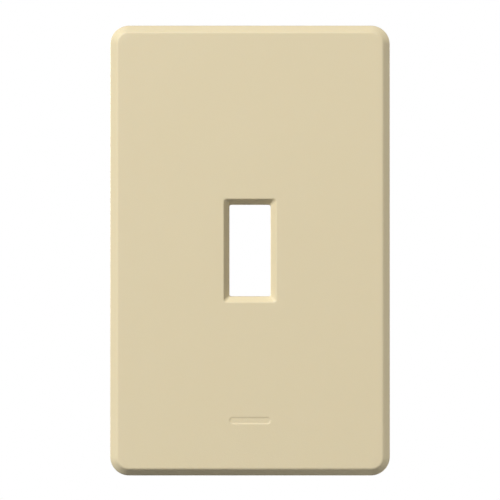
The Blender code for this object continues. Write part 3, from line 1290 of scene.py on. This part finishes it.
@dataclass
class MountingTray:
    """The adapter: a shallow tray with a window, screw seats, ribs and room for four latches."""

    finish: bpy.types.Material
    cover: FrontCover
    skirt_wall: float = 1.5 * MM
    skirt_corner: float = 2.1 * MM
    front_edge_soft: float = 0.5 * MM
    edge_soft: float = 0.3 * MM
    flat_run: float = 1.5 * MM
    web_thickness: float = 2.0 * MM
    window_gap: float = 0.6 * MM
    window_rim: float = 1.2 * MM
    window_corner_rate: float = 0.5
    strap_thickness: float = 1.2 * MM
    rib_thickness: float = 1.2 * MM
    rib_corner: float = 0.1 * MM
    rib_strap_gap: float = 0.4 * MM
    cross_rib_from_end: float = 13.0 * MM
    long_rib_from_side: float = 12.0 * MM
    hole_radius: float = 2.05 * MM
    seat_gap: float = 0.3 * MM
    boss_wall: float = 1.5 * MM
    head_sink: float = 0.1 * MM
    head_rim: float = 0.3 * MM
    head_angle: float = math.radians(82.0)
    hole_mouth: float = 0.25 * MM
    hole_lead_in: float = 0.35 * MM
    slot_room: float = 1.3 * MM
    slot_tip_gap: float = 0.6 * MM
    slot_corner: float = 0.35 * MM
    pins_across: float = 31.0 * MM
    pins_up: float = 24.0 * MM

    def __post_init__(self) -> None:
        """Takes the overall sizes from the frame."""
        low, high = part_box("mounting_adapter")
        self.half_width = high.x
        self.half_height = high.z
        self.web_front = -low.y
        self.skirt_rear = -high.y
        self.web_back = self.web_front - self.web_thickness
        screw_low, screw_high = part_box("upper_screw")
        self.head_radius = (screw_high.x - screw_low.x) / 2
        self.screw_height = joint_height("upper_screw")

    def shell(self) -> bpy.types.Object:
        """Lofts the tray's skin, from the window through the web and skirt and back to the rim.

        Returns:
            The shell, with every edge softened.
        """
        cover = self.cover
        out = cover.collar_wall + self.window_gap
        window = Outline(
            cover.opening_width + 2 * out,
            cover.opening_height + 2 * out,
            cover.opening_corner + self.window_gap,
            corner_rate=self.window_corner_rate,
        )
        skirt = Outline(2 * self.half_width, 2 * self.half_height, self.skirt_corner)
        around_window = [
            Turn(self.flat_run, self.web_front),
            Turn(0.0, self.web_front, self.edge_soft),
            Turn(0.0, self.strap_thickness, HIDDEN_EDGE),
            Turn(self.window_rim, self.strap_thickness, HIDDEN_EDGE),
            Turn(self.window_rim, self.web_back, self.edge_soft),
            Turn(self.window_rim + self.flat_run, self.web_back),
        ]
        around_skirt = [
            Turn(-self.skirt_wall - self.flat_run, self.web_back),
            Turn(-self.skirt_wall, self.web_back, self.edge_soft),
            Turn(-self.skirt_wall, self.skirt_rear, HIDDEN_EDGE),
            Turn(0.0, self.skirt_rear, self.edge_soft),
            Turn(0.0, self.web_front, self.front_edge_soft),
            Turn(-self.flat_run, self.web_front),
        ]
        rings = [window.grown(grow).ring(depth) for grow, depth in soften(around_window)]
        rings += [skirt.grown(grow).ring(depth) for grow, depth in soften(around_skirt)]
        return bridge("adapter_tray", rings, closed=True)

    def rib(self, name: str, outline: Outline) -> bpy.types.Object:
        """Lofts one stiffening rib with drafted sides and a softened top.

        Args:
            name: The rib's name.
            outline: The rib's outline at its foot.

        Returns:
            The rib, sunk a little into the web's back.
        """
        top = self.strap_thickness + self.rib_strap_gap
        path = [
            Turn(DRAFT, self.web_back + SUNK),
            Turn(-DRAFT, top, 3 * DRAFT),
            Turn(-self.rib_thickness / 3, top),
        ]
        return loft(name, outline, path)

    def ribs(self) -> list[bpy.types.Object]:
        """Makes the ribs: a pair across, a pair along, and a spine at each end.

        Returns:
            The three pairs of ribs.
        """
        cross_at = self.half_height - self.cross_rib_from_end
        long_at = self.half_width - self.long_rib_from_side
        thick, corner = self.rib_thickness, self.rib_corner
        across = 2 * (self.half_width - self.skirt_wall + SUNK)
        rim = self.cover.opening_height / 2 + self.cover.collar_wall + self.window_gap
        spine_start = rim + self.window_rim / 2
        spine = cross_at - spine_start
        rows = (
            ("cross_ribs", Outline(across, thick, corner, steps=2), (0.0, 0.0, 2 * cross_at)),
            ("long_ribs", Outline(thick, 2 * cross_at, corner, steps=2), (2 * long_at, 0.0, 0.0)),
            ("spines", Outline(thick, spine, corner, steps=2), (0.0, 0.0, spine_start + cross_at)),
        )
        return [
            RowOfShapes.run(
                self.rib(name, outline), {"Count": 2, "Spacing": spacing, "Finish": self.finish}
            )
            for name, outline, spacing in rows
        ]

    def bosses(self) -> bpy.types.Object:
        """Makes the two round bosses that bear on the switch's strap.

        Returns:
            The bosses.
        """
        radius = self.head_radius + self.seat_gap + self.boss_wall
        path = [
            Turn(DRAFT, self.web_back + SUNK),
            Turn(0.0, self.strap_thickness, HIDDEN_EDGE),
            Turn(-3 * HIDDEN_EDGE, self.strap_thickness),
        ]
        boss = loft("bosses", circle(radius), path)
        spacing = (0.0, 0.0, 2 * self.screw_height)
        return RowOfShapes.run(boss, {"Count": 2, "Spacing": spacing, "Finish": self.finish})

    def seats(self) -> bpy.types.Object:
        """Makes the cutters for the two screw holes and their countersinks.

        Returns:
            The cutters.
        """
        seat = self.head_radius + self.seat_gap
        rim = self.web_front - self.head_sink - self.head_rim
        cone = (seat - self.hole_radius) / math.tan(self.head_angle / 2)
        grow = seat - self.hole_radius
        mouth, lead_in, step, soft = self.hole_mouth, self.hole_lead_in, 0.05 * MM, 0.15 * MM
        path = [
            Turn(2 * mouth, self.strap_thickness - PAST),
            Turn(lead_in, self.strap_thickness - step, step),
            Turn(0.0, self.strap_thickness + mouth, 2 * step),
            Turn(0.0, rim - cone, soft),
            Turn(grow, rim, soft),
            Turn(grow, self.web_front - soft, 2 * step),
            Turn(grow + mouth, self.web_front + 2 * step),
            Turn(grow + mouth, self.web_front + PAST),
        ]
        cutter = loft("seats", circle(self.hole_radius), path)
        spacing = (0.0, 0.0, 2 * self.screw_height)
        return RowOfShapes.run(cutter, {"Count": 2, "Spacing": spacing, "Finish": self.finish})

    def latch_slots(self) -> bpy.types.Object:
        """Makes the cutters that free the four latches.

        Returns:
            The cutters, with round inner corners.
        """
        low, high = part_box("upper_right_latch")
        root = joint_height("upper_right_latch")
        inner = low.x - self.slot_room
        tip = high.z + self.slot_tip_gap
        reach = self.half_width + PAST - inner
        outline = Outline(2 * reach, tip - root, self.slot_corner, steps=5)
        cutter = loft("latch_slots", outline, [Turn(0.0, -PAST), Turn(0.0, self.web_front + PAST)])
        middle = (root + tip) / 2
        places = {"Half Width": inner + reach, "Half Height": middle, "Finish": self.finish}
        return FourCorners.run(cutter, places)

    def build(self) -> bpy.types.Object:
        """Builds the adapter and ties it to its body.

        Returns:
            The finished piece.
        """
        piece = self.shell()
        work(piece, Cut.JOIN, [*self.ribs(), self.bosses()])
        pins = PinMarks(self.finish, self.web_back, self.pins_across, self.pins_up)
        work(piece, Cut.REMOVE, [self.seats(), self.latch_slots(), pins.cutter()])
        dress(piece, self.finish)
        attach(piece, "adapter")
        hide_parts("mounting_adapter")
        return piece


# --- The latches ---------------------------------------------------------------------------------


@dataclass
class SnapLatch:
    """One springy tongue, moulded in one with the adapter, with the nose that holds the cover."""

    finish: bpy.types.Material
    node: str
    nose_length: float = 4.0 * MM
    nose_from_tip: float = 0.3 * MM
    nose_front_step: float = 0.3 * MM
    nose_crest: float = 0.4 * MM
    nose_flank: float = 0.5 * MM
    thickness: float = 1.3 * MM
    web_thickness: float = 2.0 * MM
    root_flare: float = 0.9 * MM
    root_sunk: float = 0.25 * MM
    tip_soft: float = 0.18 * MM
    corner: float = 0.2 * MM
    flare_steps: int = 6
    length_steps: int = 16
    tip_steps: int = 4

    def __post_init__(self) -> None:
        """Takes the latch's place and overall sizes from the frame."""
        low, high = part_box(self.node)
        self.side = 1.0 if high.x > 0.0 else -1.0
        self.end = 1.0 if high.z > 0.0 else -1.0
        self.crest = max(abs(low.x), abs(high.x))
        self.inner = min(abs(low.x), abs(high.x))
        self.outer = self.inner + self.thickness
        self.tip = max(abs(low.z), abs(high.z))
        self.front = -low.y
        self.rear = -high.y
        self.root = abs(joint_height(self.node))

    def tongue(self) -> bpy.types.Object:
        """Makes the tongue, thickened towards its root, as rings up its length.

        Returns:
            The tongue, sunk a little into the adapter at its root.
        """
        soft, sunk = self.tip_soft, self.root_sunk
        springs, straight_end = self.root + self.root_flare, self.tip - soft
        step_up = (straight_end - springs) / self.length_steps
        heights = [self.root + self.root_flare * i / self.flare_steps for i in range(self.flare_steps)]
        heights += [springs + step_up * i for i in range(self.length_steps + 1)]
        rings = [self.tongue_ring(self.root - sunk, self.thickening(self.root), sunk)]
        rings += [self.tongue_ring(height, self.thickening(height), 0.0) for height in heights]
        for i in range(self.tip_steps):
            angle = math.pi / 2 * (i + 1) / self.tip_steps
            height = self.tip - soft * (1 - math.sin(angle))
            rings.append(self.tongue_ring(height, 0.0, soft * (1 - math.cos(angle))))
        return bridge(f"{self.node}_tongue", rings, closed=False)

    def thickening(self, height: float) -> float:
        """Gives how much thicker the tongue is at a height, on its inner side.

        Args:
            height: The distance from the toggle's axis, measured along the latch.

        Returns:
            The added thickness: a quarter circle that fades out over the flare.
        """
        along = (height - self.root) / self.root_flare
        if along >= 1.0:
            return 0.0
        along = max(along, 0.0)
        return 0.5 * self.root_flare * (1 - math.sqrt(1 - (1 - along) ** 2))

    def tongue_ring(self, height: float, thicker: float, taken_in: float) -> list[Point]:
        """Places one section of the tongue.

        Args:
            height: The distance from the toggle's axis, measured along the latch.
            thicker: How much is added on the inner side.
            taken_in: How much the section is taken in all round.

        Returns:
            The section's points, with softened corners.
        """
        low_x, high_x = self.inner - thicker + taken_in, self.outer - taken_in
        near, far = self.rear + taken_in, self.front - taken_in
        middle_x, middle_depth = (low_x + high_x) / 2, (near + far) / 2
        section = Outline(high_x - low_x, far - near, self.corner, steps=4)
        return [
            (self.side * (middle_x + x), -(middle_depth + z), self.end * height)
            for x, _, z in section.ring(0.0)
        ]

    def nose(self) -> bpy.types.Object:
        """Makes the nose, with a sloped front to ride over and a steep rear to hold.

        Returns:
            The nose, sunk a little into the tongue.
        """
        web_back = self.front - self.web_thickness
        crest_rear = web_back + self.nose_flank
        crest_front = crest_rear + self.nose_crest
        sunk_x, slope_front = self.outer - SUNK, self.front - self.nose_front_step
        ease = 0.06 * MM
        profile = [
            (sunk_x, slope_front),
            (self.outer, slope_front),
            (self.crest - ease, crest_front + ease),
            (self.crest, crest_front - ease),
            (self.crest, crest_rear + ease),
            (self.crest - ease, crest_rear - ease / 2),
            (self.outer, web_back),
            (sunk_x, web_back),
        ]
        high = self.tip - self.nose_from_tip
        span = (self.end * (high - self.nose_length), self.end * high)
        return prism(f"{self.node}_nose", [(self.side * x, depth) for x, depth in profile], span)

    def build(self) -> bpy.types.Object:
        """Builds the latch.

        Returns:
            The finished piece.
        """
        piece = work(self.tongue(), Cut.JOIN, [self.nose()])
        piece.name = f"{self.node}_tongue"
        dress(piece, self.finish)
        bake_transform(piece)
        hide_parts(self.node)
        return piece


# --- The screws ----------------------------------------------------------------------------------


@dataclass
class PlateScrew:
    """One slotted flat-head screw, number 6 with 32 threads to the inch."""

    finish: bpy.types.Material
    node: str
    pitch: float = 25.4 / 32 * MM
    radius: float = 1.75 * MM
    thread_depth: float = 0.44 * MM
    neck_length: float = 0.6 * MM
    head_rim: float = 0.3 * MM
    head_angle: float = math.radians(82.0)
    slot_width: float = 1.2 * MM
    slot_depth: float = 0.9 * MM
    slot_mouth: float = 0.1 * MM
    rings_per_turn: int = 14

    def __post_init__(self) -> None:
        """Takes the screw's place and overall sizes from the frame."""
        low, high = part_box(self.node)
        self.height = joint_height(self.node)
        self.head_radius = (high.x - low.x) / 2
        self.head_top = -low.y
        self.tip = -high.y
        cone = (self.head_radius - self.radius) / math.tan(self.head_angle / 2)
        self.neck_end = self.head_top - self.head_rim - cone - self.neck_length

    def head(self) -> bpy.types.Object:
        """Turns the head, its cone and the neck.

        Returns:
            The head, with a faint dome and a softened rim.
        """
        top, rim = self.head_top, self.head_top - self.head_rim
        neck = self.radius - self.head_radius
        dome_flat, dome_edge, dome_soft = 0.2 * MM, 1.2 * MM, 2.0 * MM
        path = [
            Turn(dome_flat - self.head_radius, top),
            Turn(-dome_edge, top - 0.02 * MM, dome_soft),
            Turn(0.0, top - 0.1 * MM, 0.15 * MM),
            Turn(0.0, rim, 0.1 * MM),
            Turn(neck, self.neck_end + self.neck_length, INNER_CORNER),
            Turn(neck, self.neck_end),
        ]
        return loft(f"{self.node}_body", circle(self.head_radius, self.height, steps=16), path)

    def thread(self) -> bpy.types.Object:
        """Cuts the threaded shank and stands it on the screw's axis.

        Returns:
            The shank, which starts a little inside the neck.
        """
        inside_neck, under_neck = 0.25 * MM, 0.01 * MM
        start = self.neck_end + inside_neck
        length = start - self.tip
        host = add_object(f"{self.node}_thread", bpy.data.meshes.new("shank"))
        CutThread.run(
            host,
            {
                "Length": length,
                "Radius": self.radius - under_neck,
                "Depth": self.thread_depth,
                "Pitch": self.pitch,
                "Rings": round(length / self.pitch * self.rings_per_turn),
                "Finish": self.finish,
            },
        )
        upright_to_inward = Matrix.Rotation(-math.pi / 2, 4, "X")
        host.data.transform(Matrix.Translation((0.0, -start, self.height)) @ upright_to_inward)
        return host

    def slot(self) -> bpy.types.Object:
        """Makes the cutter for the driver slot.

        Returns:
            The cutter, slightly wider at the head's surface.
        """
        top, mouth = self.head_top, self.slot_mouth
        path = [
            Turn(-0.4 * mouth, top - self.slot_depth),
            Turn(0.0, top - 1.5 * mouth),
            Turn(mouth, top + 0.2 * mouth),
            Turn(mouth, top + PAST / 2),
        ]
        length = 2 * (self.head_radius + PAST)
        outline = Outline(self.slot_width, length, mouth / 2, steps=2, centre_z=self.height)
        return loft(f"{self.node}_slot", outline, path)

    def build(self) -> bpy.types.Object:
        """Builds the screw and ties it to its body.

        Returns:
            The finished piece.
        """
        piece = work(self.head(), Cut.JOIN, [self.thread()])
        work(piece, Cut.REMOVE, [self.slot()])
        piece.name = f"{self.node}_turned"
        dress(piece, self.finish, crease=35.0)
        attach(piece, self.node)
        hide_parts(self.node)
        return piece


# --- The studio ----------------------------------------------------------------------------------


@dataclass(frozen=True)
class Softbox:
    """One soft lamp, aimed at the plate."""

    name: str
    place: Point
    size: float
    watts: float
    mirrored: bool = True

    def hang(self) -> bpy.types.Object:
        """Adds the lamp to the scene.

        Returns:
            The lamp.
        """
        lamp = bpy.data.lights.new(self.name, "AREA")
        lamp.shape = "DISK"
        lamp.size = self.size
        lamp.energy = self.watts
        made = add_object(self.name, lamp)
        made.location = self.place
        made.rotation_euler = (-Vector(self.place)).to_track_quat("-Z", "Y").to_euler()
        made.visible_camera = False
        made.visible_glossy = self.mirrored
        return made


@dataclass
class Studio:
    """The plain pale floor, the soft lamps, the white surroundings and the camera."""

    frame_width: float = 132.2 * MM
    lens: float = 150.0
    sensor: float = 36.0
    camera_rise: float = 0.15 * MM
    outline_depth: float = 5.4 * MM
    floor_drop: float = 0.65
    floor_radius: float = 2.6
    floor_steps: int = 96
    floor_tone: Colour = (0.86, 0.86, 0.85)
    surround_light: float = 0.036
    lamps: list[Softbox] = field(
        default_factory=lambda: [
            Softbox("key", (-1.29, -2.33, 1.77), 0.90, 126.0),
            Softbox("left_rim", (-2.40, 0.35, 0.10), 0.70, 6.0, mirrored=False),
            Softbox("right_rim", (2.40, 0.35, 0.10), 0.70, 27.0, mirrored=False),
            Softbox("low_right", (0.055, 0.01, -0.125), 0.04, 0.012, mirrored=False),
            Softbox("rear_left", (-1.70, 1.90, 0.35), 0.50, 44.0),
            Softbox("rear_right", (1.60, 1.90, 0.30), 0.80, 20.0),
        ]
    )

    def floor(self) -> bpy.types.Object:
        """Lays the round pale floor well below the plate.

        Returns:
            The floor.
        """
        shape = bmesh.new()
        bmesh.ops.create_circle(
            shape, cap_ends=True, segments=self.floor_steps, radius=self.floor_radius
        )
        bmesh.ops.translate(shape, verts=shape.verts, vec=(0.0, 0.0, -self.floor_drop))
        mesh = bpy.data.meshes.new("floor")
        shape.to_mesh(mesh)
        shape.free()
        mesh.materials.append(StudioPaper("studio_paper", self.floor_tone).make())
        made = add_object("floor", mesh)
        made.visible_diffuse = False
        return made

    def surroundings(self) -> bpy.types.World:
        """Makes the surroundings: white to look at, and a dim even light on the object.

        Returns:
            The world.
        """
        world = bpy.data.worlds.new("studio")
        world.use_nodes = True
        wiring = Wiring(world.node_tree)
        background = world.node_tree.nodes["Background"]
        seen = wiring.add("ShaderNodeLightPath").outputs["Is Camera Ray"]
        extra = wiring.math("MULTIPLY", seen, 1.0 - self.surround_light)
        wiring.feed(background.inputs["Color"], (1.0, 1.0, 1.0, 1.0))
        wiring.feed(background.inputs["Strength"], wiring.math("ADD", extra, self.surround_light))
        bpy.context.scene.world = world
        return world

    def camera(self) -> bpy.types.Object:
        """Sets the camera square on to the plate.

        Returns:
            The camera.
        """
        data = bpy.data.cameras.new("camera")
        data.lens = self.lens
        data.sensor_width = self.sensor
        distance = self.frame_width * self.lens / self.sensor
        data.clip_start, data.clip_end = 0.01, 20.0
        made = add_object("camera", data)
        made.location = (0.0, -self.outline_depth - distance, self.camera_rise)
        made.rotation_euler = (math.pi / 2, 0.0, 0.0)
        bpy.context.scene.camera = made
        return made

    def build(self) -> None:
        """Sets up everything round the object."""
        self.floor()
        self.surroundings()
        for lamp in self.lamps:
            lamp.hang()
        self.camera()
        bpy.context.scene.view_settings.view_transform = "Standard"


# --- Everything ----------------------------------------------------------------------------------


def report(piece: bpy.types.Object) -> None:
    """Logs a finished piece's name and how many faces it has.

    Args:
        piece: The piece.
    """
    LOG.info("%s: %d faces", piece.name, len(piece.data.polygons))


def main() -> None:
    """Builds the finishes, the pieces and the studio, in that order."""
    logging.basicConfig(level=logging.INFO, format="%(name)s: %(message)s")
    ivory = MouldedIvory(
        name="satin_ivory",
        tone=(0.748, 0.648, 0.431),
        other_tone=(0.736, 0.634, 0.416),
        roughness=0.54,
        roughness_spread=0.12,
        grain_per_metre=4400.0,
        grain_height=0.022 * MM,
        marks=0.05,
    ).make()
    inner_ivory = MouldedIvory(
        name="plain_ivory",
        tone=(0.715, 0.608, 0.398),
        other_tone=(0.690, 0.580, 0.372),
        roughness=0.50,
        roughness_spread=0.16,
        grain_per_metre=3200.0,
        grain_height=0.030 * MM,
        marks=0.12,
    ).make()
    cover = FrontCover(ivory)
    tray = MountingTray(inner_ivory, cover)
    zinc = ZincPlate(
        name="zinc_plate",
        tone=(0.66, 0.67, 0.66),
        other_tone=(0.56, 0.58, 0.60),
        axis_height=tray.screw_height,
    ).make()
    report(cover.build())
    report(tray.build())
    for end in ("upper", "lower"):
        report(PlateScrew(zinc, f"{end}_screw").build())
        for hand in ("left", "right"):
            report(SnapLatch(inner_ivory, f"{end}_{hand}_latch").build())
    Studio().build()


if __name__ == "__main__":
    main()
